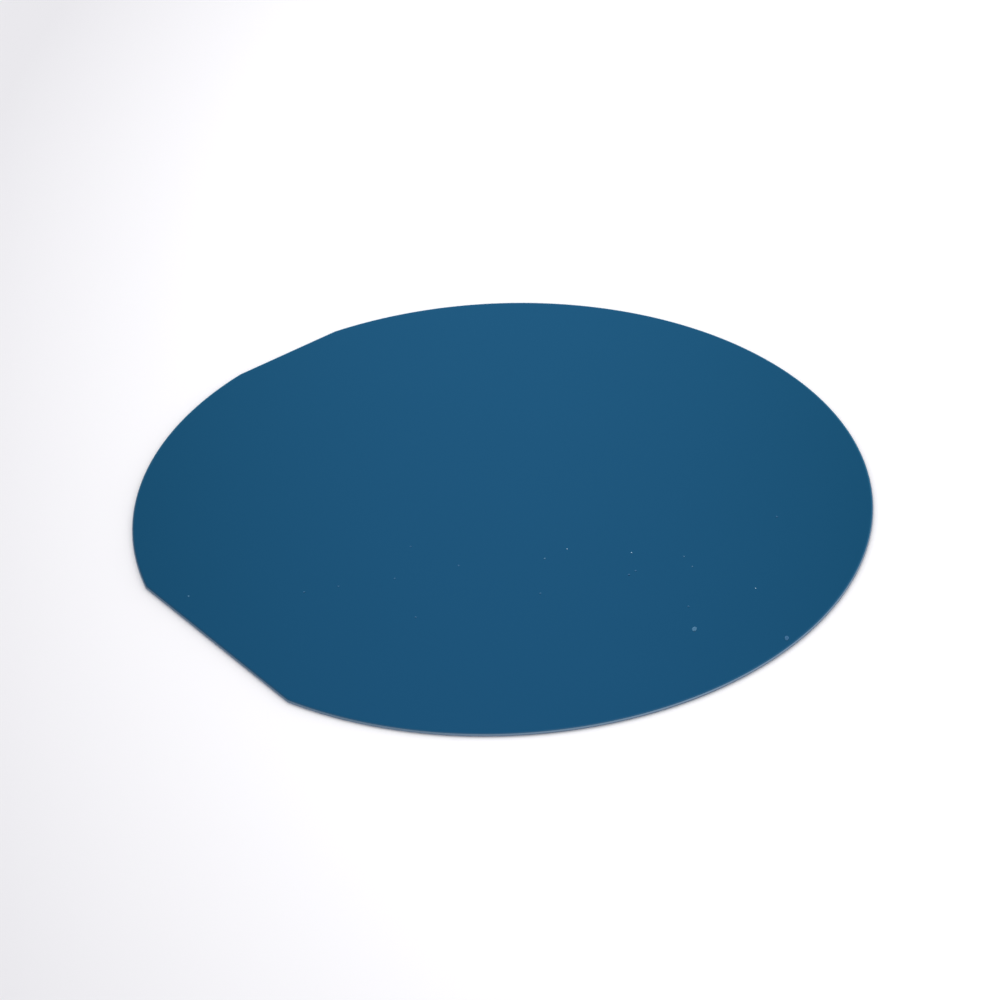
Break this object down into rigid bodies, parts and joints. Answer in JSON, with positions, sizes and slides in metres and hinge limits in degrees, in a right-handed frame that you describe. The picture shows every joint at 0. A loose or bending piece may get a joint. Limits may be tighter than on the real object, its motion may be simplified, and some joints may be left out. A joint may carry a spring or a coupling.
{
  "type": "silicon wafer",
  "caption": "Thin round silicon wafer with a long primary and a shorter secondary flat, a ground rounded rim, a polished front with a deep blue film and an etched grey back.",
  "frame": {"origin": "centre of the round outline on the back face, which lies on the surface below", "axes": "+Z out of the polished front face; the primary flat faces -Y and the secondary flat faces -X, 90 degrees clockwise from it as seen from the front"},
  "size_m": [0.0993, 0.0975, 0.0005],
  "materials": {
    "silicon": "polished"
  },
  "bodies": {
    "root": {"wafer": "silicon"}
  },
  "joints": []
}
